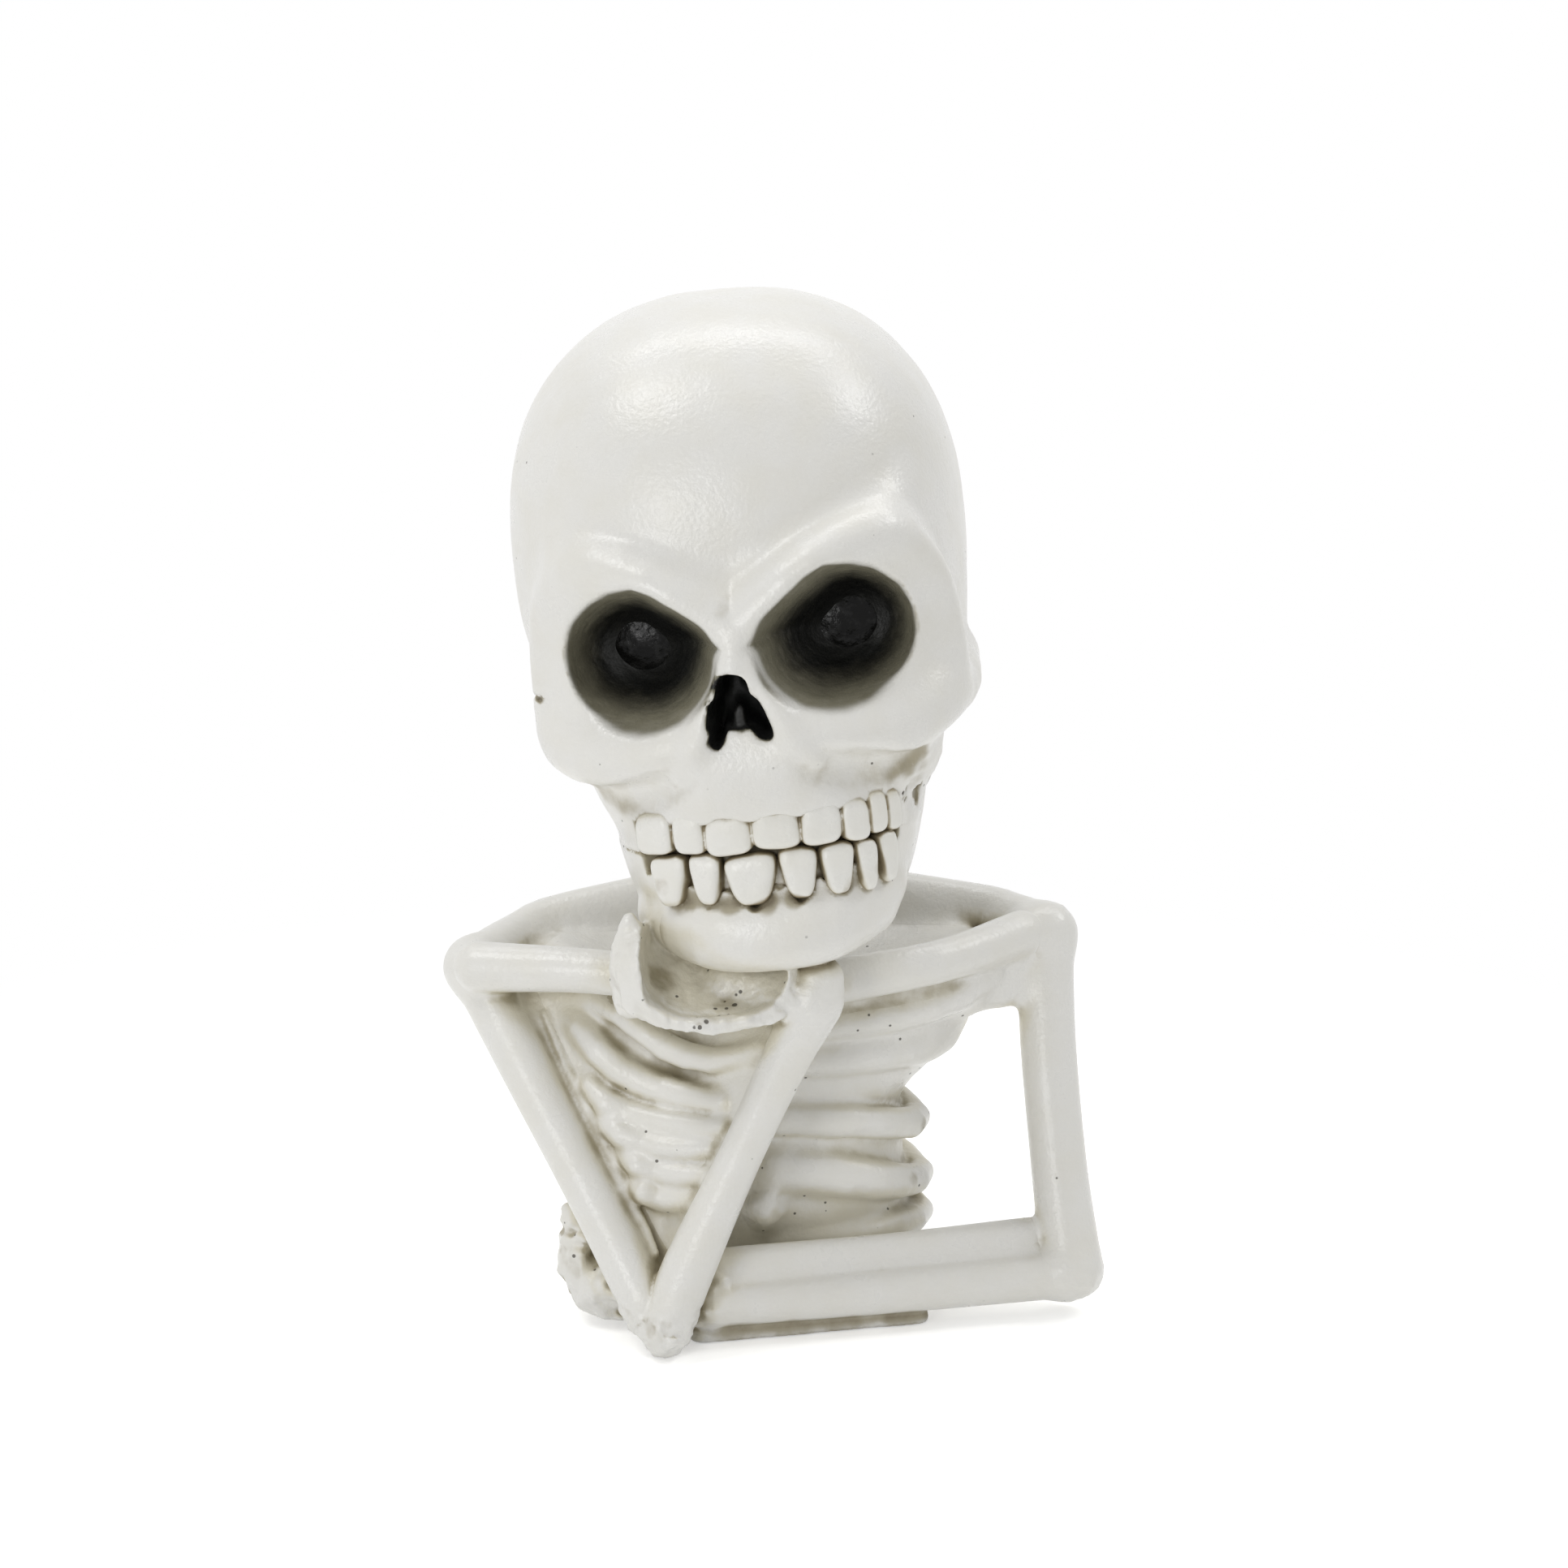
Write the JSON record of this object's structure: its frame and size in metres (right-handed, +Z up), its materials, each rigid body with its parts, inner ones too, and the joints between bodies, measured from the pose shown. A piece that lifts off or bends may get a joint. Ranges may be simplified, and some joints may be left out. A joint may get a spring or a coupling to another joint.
{
  "type": "skeleton bust figurine",
  "caption": "Cast resin skeleton bust with a large skull, chin propped on one hand and the other forearm laid along the table; stands on a flat base as a seasonal decoration.",
  "frame": {"origin": "on the flat underside of the base plate, below the middle of the rib cage", "axes": "+Z up, the figure faces -Y, +X is the figure's left side"},
  "size_m": [0.0989, 0.0797, 0.1509],
  "materials": {
    "resin_white": "satin off-white cast resin with a grey-brown wash in the recesses",
    "tooth_white": "satin off-white cast resin with brown wash between the teeth",
    "eye_black": "gloss black paint",
    "dowel_steel": "drawn wire"
  },
  "bodies": {
    "root": {"cranium": "resin_white", "lower_jaw": "resin_white", "neck_column": "resin_white", "rib_cage": "resin_white", "shoulder_yoke": "resin_white", "right_clavicle": "resin_white", "left_clavicle": "resin_white", "base_plate": "resin_white", "right_upper_arm": "resin_white", "right_forearm": "resin_white", "right_hand": "resin_white", "left_upper_arm": "resin_white", "left_ulna": "resin_white", "left_radius": "resin_white", "left_hand": "resin_white", "upper_teeth": "tooth_white", "lower_teeth": "tooth_white", "right_eye_bead": "eye_black", "left_eye_bead": "eye_black", "neck_rod": "dowel_steel", "right_shoulder_dowel": "dowel_steel", "right_elbow_dowel": "dowel_steel", "right_wrist_dowel": "dowel_steel", "left_shoulder_dowel": "dowel_steel", "left_elbow_dowel": "dowel_steel", "left_wrist_dowel": "dowel_steel"}
  },
  "joints": []
}
